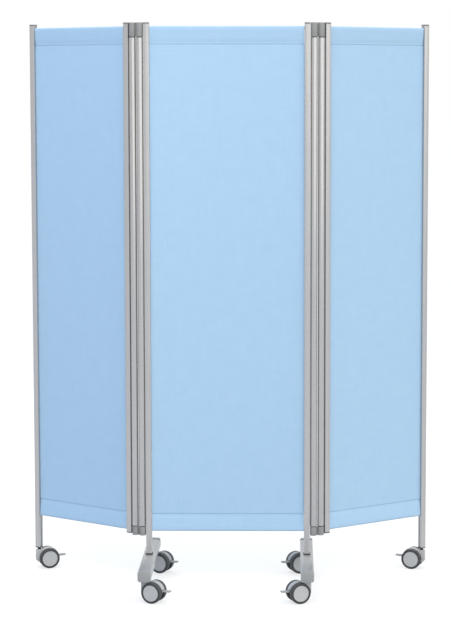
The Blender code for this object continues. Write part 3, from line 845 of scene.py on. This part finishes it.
def cloth_body(path, width, front, seams):
    """The cloth, with the share of painted crease shade on its points and its cut as a UV map in metres, and
    how long it is.
    """
    work = bmesh.new()
    crease = work.verts.layers.float.new("crease")
    rows = [cloth_row(work, crease, y, z, width, front, seams) for y, z in path]
    lengths = [0.0]
    for here, there in zip(path, path[1:]):
        lengths.append(lengths[-1] + math.dist(here, there))
    columns = len(rows[0]) - 1
    cut_map = work.loops.layers.uv.new("cut")
    for i in range(len(rows) - 1):
        for k in range(columns):
            corners = ((i, k), (i, k + 1), (i + 1, k + 1), (i + 1, k))
            face = work.faces.new([rows[r][c] for r, c in corners])
            for loop, (r, c) in zip(face.loops, corners):
                loop[cut_map].uv = (width * c / columns, lengths[r])
    thick = evaluated(work, ("SOLIDIFY", {"thickness": CLOTH, "offset": 0.0, "use_even_offset": True}))
    bmesh.ops.recalc_face_normals(thick, faces=thick.faces)
    return thick, lengths[-1]


def stitch_body(tree, width, front, seams):
    """The stitches along both seams, in the crease in front and on the hem behind."""
    reach = width / 2 - STITCH_MARGIN
    steps = round(2 * reach / ROW_STEP)
    across = [reach * (2 * i / steps - 1) for i in range(steps + 1)]
    proud = STITCH_THICKNESS / 4
    in_front, in_back = CLOTH / 2 - CREASE_DEPTH + proud, CLOTH * 1.5 + SEAM_TURN / 4 + proud
    depths = (front * in_front, -front * in_back)
    paths = [[(x, depth, seam) for x in across] for seam in seams for depth in depths]
    return row_of_beads(tree, paths, (STITCH_PITCH, STITCH_LENGTH, STITCH_THICKNESS, STITCH_THICKNESS))


def make_cloth(name, tree, body, space, width, front):
    """One panel's cloth and its stitches. In the panel's space its front faces along Y times front."""
    low, high = (corner.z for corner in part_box(name + "_fabric"))
    rails = [sum(corner.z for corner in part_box(name + end)) / 2 for end in ("_bottom_rail", "_top_rail")]
    seams = (low + SEAM_DROP, high - SEAM_DROP)
    thick, length = cloth_body(cloth_path(seams, rails, front), width, front, seams)
    cloth = piece(name + "_cloth", thick, "cloth", body, space, [name + "_fabric"])
    beads = stitch_body(tree, width, front, seams)
    stitches = piece(name + "_seam_stitches", beads, "thread", body, space)


# Panels


def wing_space(side):
    """The space of a wing: X from its pivot to its outer post."""
    pivot = spot(side + "_wing_pivot")
    return facing(pivot, spot(side + "_wing_castor_swivel") - pivot)


def make_centre(tree):
    """The middle panel: two posts with their caps and hinge tubes, and the cloth between them."""
    middle = Matrix.Translation(CENTRE_MIDDLE)
    for side, sign in (("left", -1), ("right", 1)):
        name = "centre_" + side
        space = middle @ shifted(x=sign * CENTRE_POST_X) @ (HALF_TURN if sign > 0 else HERE)
        make_post(name, "centre_frame", space, CENTRE_POST_BOTTOM)
        make_top_cap(name, "centre_frame", space)
        make_tube(name, "centre_frame", space)
    width = 2 * (CENTRE_POST_X - HALF_POST)
    make_cloth("centre", tree, "centre_frame", middle, width, -1)


def make_wing(side, tree):
    """One wing: its two posts with their ends, its hinge tube and its cloth."""
    body = side + "_wing"
    space = wing_space(side)
    inner = space @ shifted(x=PIVOT_TO_POST)
    outer = space @ shifted(x=OUTER_POST_X) @ HALF_TURN
    for name, at_post, bottom, on_castor in ((body + "_inner", inner, INNER_POST_BOTTOM, False),
                                             (body + "_outer", outer, OUTER_POST_BOTTOM, True)):
        make_post(name, body, at_post, bottom + END_PLATE, on_castor)
        make_end_plate(name, body, at_post, bottom, on_castor)
        make_top_cap(name, body, at_post)
    make_tube(body + "_inner", body, inner)
    width = OUTER_POST_X - PIVOT_TO_POST - POST_WIDTH
    panel = space @ shifted(x=(OUTER_POST_X + PIVOT_TO_POST) / 2)
    make_cloth(body, tree, body, panel, width, 1 if side == "left" else -1)


def make_hinge(side):
    """The link blocks at the top and the bottom of one hinge."""
    pivot = spot(side + "_centre_pivot")
    space = facing(pivot, spot(side + "_wing_pivot") - pivot)
    make_link_block(side + "_hinge_top_block", side + "_link", space, TOP_BLOCK, 1)
    make_link_block(side + "_hinge_bottom_block", side + "_link", space, BOTTOM_BLOCK, -1)


# Feet


def foot_outline(inset=0.0):
    """The foot's section, or the same drawn in evenly."""
    width, height = FOOT_HIGH.x - FOOT_LOW.x, FOOT_HIGH.z - FOOT_LOW.z
    middle = (0.0, (FOOT_LOW.z + FOOT_HIGH.z) / 2)
    return rounded(width - 2 * inset, height - 2 * inset, FOOT_CORNER - inset, middle, steps=8)


def make_foot_tube(side, space):
    """The foot's tube, with a socket for the centre post and a hole for the stem of each castor."""
    front, rear, bottom, top = FOOT_LOW.y, FOOT_HIGH.y, FOOT_LOW.z, FOOT_HIGH.z
    solid = slab([foot_outline()], front, rear, "Y", FOOT_EDGE, (True, False))
    hollow = slab([foot_outline(FOOT_WALL)], front + FOOT_WALL, rear + FOOT_WALL, "Y")
    socket = slab([post_square(2 * GAP, (0.0, CENTRE_MIDDLE.y))], (bottom + top) / 2, top + FOOT_WALL)
    stems = [(0.0, spot(side + end + "_castor_swivel").y) for end in ("_front", "_rear")]
    stem_holes = [slab([stem_hole(at)], bottom - FOOT_WALL, bottom + 2 * FOOT_WALL) for at in stems]
    tube = cut(solid, hollow, socket, *stem_holes)
    piece(side + "_foot_tube", tube, "foot", "centre_frame", space, [side + "_foot_bar"])


def make_foot_end(side, space):
    """The moulding on the foot's rear end, and before it the dark seal with its neck in the tube, whose dark
    colour also paints the shade in the joint.
    """
    bar_end, seal_end = FOOT_HIGH.y, FOOT_END - END_CAP_LENGTH + END_SEAL
    end = slab([foot_outline()], seal_end, FOOT_END, "Y", END_CAP_EDGE, (False, True))
    neck = slab([foot_outline(FOOT_WALL + GAP)], bar_end - END_NECK, bar_end, "Y")
    seal = gathered(neck, slab([foot_outline(END_SEAL_INSET)], bar_end, seal_end, "Y"))
    piece(side + "_foot_end_moulding", end, "foot_end", "centre_frame", space,
          [side + "_foot_end_cap"])
    # The seal is dark rubber, and its darkness also paints the shade in the gap before the end moulding
    piece(side + "_foot_end_seal_and_shade", seal, "gasket", "centre_frame", space)


def make_post_seat(side, space):
    """The collar round the centre post on top of the foot, and the socket bolt with its washer below."""
    rim = rounded(COLLAR_WIDTH, COLLAR_WIDTH, COLLAR_CORNER)
    collar = slab([rim, post_square(GAP)], FOOT_HIGH.z, FOOT_HIGH.z + COLLAR_HEIGHT)
    piece(side + "_foot_collar", collar, "gasket", "centre_frame", space)
    under = FOOT_LOW.z - WASHER_HEIGHT
    face = under - BOLT_HEIGHT
    around = ring(BOLT_RADIUS, TURNED_STEPS)
    washer = slab([ring(WASHER_RADIUS, TURNED_STEPS)], under, FOOT_LOW.z, edge=WASHER_HEIGHT / 4)
    head = slab([around, ring(BOLT_SOCKET, 6)], face, face + BOLT_SOCKET_DEPTH)
    crown = slab([around], face + BOLT_SOCKET_DEPTH, under)
    piece(side + "_foot_bolt", gathered(washer, head, crown), "steel", "centre_frame", space)


def make_foot(side):
    """A foot: its tube, its rear end and the seat of the centre post."""
    x = spot(side + "_front_castor_swivel").x
    make_foot_tube(side, shifted(x=x))
    make_foot_end(side, shifted(x=x))
    make_post_seat(side, shifted(x=x, y=CENTRE_MIDDLE.y))


# Castors


def castor_space(name):
    """The space of a castor about its axle: X away from the stem, Y along the axle."""
    swivel, axle = spot(name + "_castor_swivel"), spot(name + "_wheel_a_spin")
    return facing(axle, axle - Vector((swivel.x, swivel.y, axle.z)))


def hood_body():
    """The hood over the axle between the wheels, and behind it the block that holds the stem."""
    back, top = -CASTOR_TRAIL - STEM_BLOCK_REACH, STEM_BLOCK_RISE
    corner = (back + STEM_BLOCK_CORNER, top - STEM_BLOCK_CORNER)
    outline = arc(HOOD_RADIUS, HOOD_START, math.pi - math.asin(top / HOOD_RADIUS), 36)
    outline += arc(STEM_BLOCK_CORNER, math.pi / 2, math.pi, 6, corner)
    outline += [(back, -STEM_BLOCK_LOW), (back + STEM_BLOCK_HEEL, -STEM_BLOCK_LOW - STEM_BLOCK_HEEL)]
    outline += arc(AXLE_BOSS, AXLE_BOSS_START, AXLE_BOSS_END, 10)
    outline += arc(NOTCH_RADIUS, math.pi + NOTCH_TURN, NOTCH_TURN, 12, (LEVER_OUT, LEVER_UP))
    return slab([outline], -HOOD_HALF, HOOD_HALF, "Y", HOOD_EDGE)


def make_hood(name, space):
    """A castor's hood, its bush and stem above, and the finish of its axle."""
    body = name + "_castor"
    piece(name + "_hood_moulding", hood_body(), "hood", body, space, [name + "_castor_hood"])
    bush_top = FOOT_LOW.z - GAP - AXLE_HEIGHT
    bush = turned([(0.0, STEM_BLOCK_RISE), (BUSH_RADIUS, STEM_BLOCK_RISE), (BUSH_RADIUS, bush_top),
                   (0.0, bush_top)], TURNED_STEPS)
    stem_top = bush_top + GAP + STEM_RISE
    stem = turned([(0.0, bush_top), (STEM_RADIUS, bush_top), (STEM_RADIUS, stem_top - STEM_CHAMFER),
                   (STEM_RADIUS - STEM_CHAMFER, stem_top), (0.0, stem_top)], TURNED_STEPS)
    over_stem = space @ shifted(x=-CASTOR_TRAIL)
    piece(name + "_swivel_bush", bush, "gasket", body, over_stem)
    piece(name + "_stem", stem, "steel", body, over_stem)
    axle = frame["nodes"][name + "_castor_axle"]
    axle.material_slots[0].material = FINISHES["steel"]


def tyre_profile(outer):
    """The tyre's section: a ringed sidewall outside, rounded shoulders and a slightly crowned tread."""
    centre = (WHEEL_HALF - TYRE_SHOULDER, AXLE_HEIGHT - TYRE_CROWN - TYRE_SHOULDER)
    shoulder = arc(TYRE_SHOULDER, 0.0, math.pi / 2, 6, centre)
    section = [(WHEEL_HALF - SIDE_RING_DEPTH, HUB_RADIUS), (WHEEL_HALF, HUB_RADIUS + SIDE_RING_DEPTH)]
    for step, depth in ((-1.0, 0.0), (-0.5, SIDE_RING_DEPTH), (0.5, SIDE_RING_DEPTH), (1.0, 0.0)):
        section.append((WHEEL_HALF - depth, SIDE_RING + step * SIDE_RING_WIDTH))
    section += shoulder + [(0.0, AXLE_HEIGHT)] + [(-w, r) for w, r in shoulder[::-1]]
    section.append((-WHEEL_HALF, HUB_RADIUS))
    return [(r, outer * w) for w, r in section]


def hub_profile(outer):
    """The hub's section: a flat disc let in behind a raised rim, closed outside and bored from inside."""
    face, rim = WHEEL_HALF - HUB_FACE_DEPTH, HUB_RADIUS - GAP / 3
    bead = face + HUB_RIM_RISE
    section = [
        (0.0, face), (rim - HUB_RIM, face), (rim - HUB_RIM * 0.75, bead), (rim - HUB_RIM * 0.25, bead),
        (rim, face), (rim, -WHEEL_HALF), (AXLE_BORE, -WHEEL_HALF), (AXLE_BORE, face - HUB_WEB),
        (0.0, face - HUB_WEB),
    ]
    return [(r, outer * w) for r, w in section]


def make_wheel(name, letter, outer, space):
    """A wheel's tyre and hub, on the axle's -Y side for an outer of -1 and on its +Y side for 1."""
    body = name + "_wheel_" + letter
    at_wheel = space @ shifted(y=outer * WHEEL_CENTRE)
    tyre = keep_radius(turned(tyre_profile(outer), WHEEL_STEPS, "Y"))
    hub = keep_radius(turned(hub_profile(outer), WHEEL_STEPS, "Y"))
    stands_for = [name + "_castor_wheel_" + letter]
    piece(body + "_tyre", tyre, "tyre", body, at_wheel, stands_for)
    piece(body + "_hub", hub, "hub", body, at_wheel)


def lever_point(run, rise=0.0):
    """The point (X, Z) so far out along the middle of the lever's arm, and so far above it."""
    cosine, sine = math.cos(LEVER_RISE), math.sin(LEVER_RISE)
    return (run * cosine - rise * sine, run * sine + rise * cosine)


def make_lever(name, tree, space):
    """The brake lever: a boss, a tapered arm with a round tip and slip ribs across its top."""
    body = name + "_brake"
    tip = lever_point(LEVER_REACH - LEVER_TIP / 2)
    outline = arc(LEVER_BOSS, LEVER_BOSS_START, LEVER_BOSS_END, 14)
    outline += arc(LEVER_TIP / 2, LEVER_RISE - math.pi / 2, LEVER_RISE + math.pi / 2, 6, tip)
    outline.append(lever_point(LEVER_ROOT_AT, LEVER_ROOT / 2))
    arm = slab([outline], -LEVER_HALF_WIDTH, LEVER_HALF_WIDTH, "Y", LEVER_EDGE)
    at_pivot = space @ shifted(x=LEVER_OUT, z=LEVER_UP)
    piece(name + "_lever_moulding", arm, "lever", body, at_pivot, [name + "_brake_lever"])
    fall = (LEVER_ROOT - LEVER_TIP) / 2 / LEVER_REACH
    top = [lever_point(run, LEVER_ROOT / 2 - fall * run) for run in RIB_RUN]
    ribs = row_of_beads(tree, [[(x, 0.0, z) for x, z in top]], (RIB_PITCH, *RIB_SIZE))
    piece(name + "_lever_ribs", ribs, "lever", body, at_pivot)


def make_castor(name, tree):
    """A castor: its hood and stem, its two wheels and its brake lever."""
    space = castor_space(name)
    make_hood(name, space)
    make_wheel(name, "a", -1, space)
    make_wheel(name, "b", 1, space)
    make_lever(name, tree, space)


# Stage, light and camera

PHOTO_WIDTH, PHOTO_HEIGHT = 451, 632
AXIS_PIXEL = (276.0, 253.0)
FOCAL_PIXELS = 1839.0
SENSOR = 36.0
EYE = (0.195, -5.656, 1.551)
EYE_PAN = math.radians(0.46)
EYE_TILT = math.radians(90 - 5.13)
FLOOR_REACH = 60.0
COOL_SKY = (0.56, 0.665, 0.89)
WARM_SKY = (0.81, 0.82, 0.77)
FLOOR_TONES = ((0.36, 0.36, 0.36), (0.38, 0.38, 0.38))
FLOOR_GLOW = (0.67, 0.67, 0.67)
KEY_TURN = math.radians(34)
KEY_RISE = math.radians(28)
KEY_SPREAD = math.radians(90)
KEY_STRENGTH = 1.4
KEY_COLOUR = (1.0, 0.96, 0.87)
KEY_DISTANCE = 6.0
PANEL_FORM = {"shape": "RECTANGLE", "size": 2.4, "size_y": 1.0}
PANELS = {
    "front_panel": ((-0.8, -2.3, 3.3), (-0.3, 0.0, 1.3), 28.0),
    "back_panel": ((-0.9, 3.0, 2.8), (0.0, 0.0, 0.9), 50.0),
}


def add_camera():
    """The camera at the photo's viewing angle. It looks straight at the axis pixel."""
    camera = bpy.data.cameras.new("photo_view")
    camera.sensor_width = SENSOR
    camera.lens = FOCAL_PIXELS * SENSOR / PHOTO_HEIGHT
    camera.shift_x = (PHOTO_WIDTH / 2 - AXIS_PIXEL[0]) / PHOTO_HEIGHT
    camera.shift_y = (AXIS_PIXEL[1] - PHOTO_HEIGHT / 2) / PHOTO_HEIGHT
    holder = in_scene("photo_view", camera)
    holder.location = EYE
    holder.rotation_euler = (EYE_TILT, 0.0, EYE_PAN)
    bpy.context.scene.camera = holder


def seen_directly(wiring):
    """1 for what the camera sees itself, in a gloss or through glass, and 0 for light on the object."""
    seen = [wiring.node("ShaderNodeLightPath", output=name)
            for name in ("Is Camera Ray", "Is Glossy Ray", "Is Transmission Ray")]
    return seen[0].or_more(seen[1]).or_more(seen[2])


def add_world():
    """Even light from all round, cooler from the left and warmer from the right, that is seen as white."""
    world = bpy.data.worlds.new("studio")
    world.use_nodes = True
    bpy.context.scene.world = world
    wiring = Wiring(world.node_tree)
    world.node_tree.nodes.clear()
    toward = wiring.node("ShaderNodeTexCoord", output="Generated")
    rightward = wiring.node("ShaderNodeSeparateXYZ", None, {0: toward}, output="X")
    sky = wiring.between(rightward.within(-1.0, 1.0), COOL_SKY, WARM_SKY)
    even = wiring.node("ShaderNodeBackground", None, {"Color": sky, "Strength": 1.0})
    white = wiring.node("ShaderNodeBackground", None, {"Color": (1.0, 1.0, 1.0, 1.0), "Strength": 1.0})
    mixed = wiring.node("ShaderNodeMixShader", None, {0: seen_directly(wiring), 1: even, 2: white})
    wiring.node("ShaderNodeOutputWorld", None, {"Surface": mixed})


def floor_finish():
    """A matt pale grey that the camera sees lifted to white, apart from the shadows on it."""
    material = bpy.data.materials.new("studio_floor")
    material.use_nodes = True
    material.node_tree.nodes.clear()
    wiring = Wiring(material.node_tree)
    where = wiring.node("ShaderNodeTexCoord", output="Object")
    grain = wiring.node("ShaderNodeTexNoise", None, {"Vector": where, "Scale": 40.0, "Detail": 2.0})
    pale = wiring.between(grain, *FLOOR_TONES)
    matt = wiring.node("ShaderNodeBsdfDiffuse", None, {"Color": pale})
    glow = wiring.node("ShaderNodeEmission", None, {"Color": (*FLOOR_GLOW, 1.0), "Strength": 1.0})
    lifted = wiring.node("ShaderNodeAddShader", None, {0: matt, 1: glow})
    mixed = wiring.node("ShaderNodeMixShader", None, {0: seen_directly(wiring), 1: matt, 2: lifted})
    wiring.node("ShaderNodeOutputMaterial", None, {"Surface": mixed})
    return material


def add_floor():
    """A floor that keeps the shadow and meets the white backdrop without a line."""
    mesh = bpy.data.meshes.new("studio_floor")
    corners = [(x * FLOOR_REACH, y * FLOOR_REACH, 0.0) for x, y in ((-1, -1), (1, -1), (1, 1), (-1, 1))]
    mesh.from_pydata(corners, [], [(0, 1, 2, 3)])
    mesh.materials.append(floor_finish())
    in_scene("studio_floor", mesh)


def add_lamp(name, kind, stand, aim, **settings):
    """A lamp that stands at one point and is aimed at another."""
    light = bpy.data.lights.new(name, kind)
    for setting, value in settings.items():
        setattr(light, setting, value)
    lamp = in_scene(name, light)
    lamp.location = stand
    lamp.rotation_euler = (Vector(aim) - Vector(stand)).to_track_quat("-Z", "Y").to_euler()
    return lamp


def add_lamps():
    """A broad key from the front right that lights the floor evenly, and a weak panel in front and behind."""
    level = math.cos(KEY_RISE)
    towards_key = Vector((math.sin(KEY_TURN) * level, -math.cos(KEY_TURN) * level, math.sin(KEY_RISE)))
    add_lamp("key", "SUN", towards_key * KEY_DISTANCE, (0.0, 0.0, 0.0),
             energy=KEY_STRENGTH, angle=KEY_SPREAD, color=KEY_COLOUR)
    for name, (stand, aim, power) in PANELS.items():
        panel = add_lamp(name, "AREA", stand, aim, **PANEL_FORM, energy=power, color=KEY_COLOUR)
        panel.visible_glossy = False


def main():
    """Dresses the solids and sets the stage."""
    stitch_row, rib_row = row_tree(FINISHES["thread"]), row_tree(FINISHES["lever"])
    for panel in ("centre", "left_wing", "right_wing"):
        for end in ("_bottom_rail", "_top_rail"):
            frame["nodes"][panel + end].material_slots[0].material = FINISHES["rail"]
    make_centre(stitch_row)
    for side in ("left", "right"):
        make_wing(side, stitch_row)
        make_hinge(side)
        make_foot(side)
    for name in CASTORS:
        make_castor(name, rib_row)
    add_floor()
    add_world()
    add_lamps()
    add_camera()
    bpy.context.scene.view_settings.view_transform = "Standard"


main()
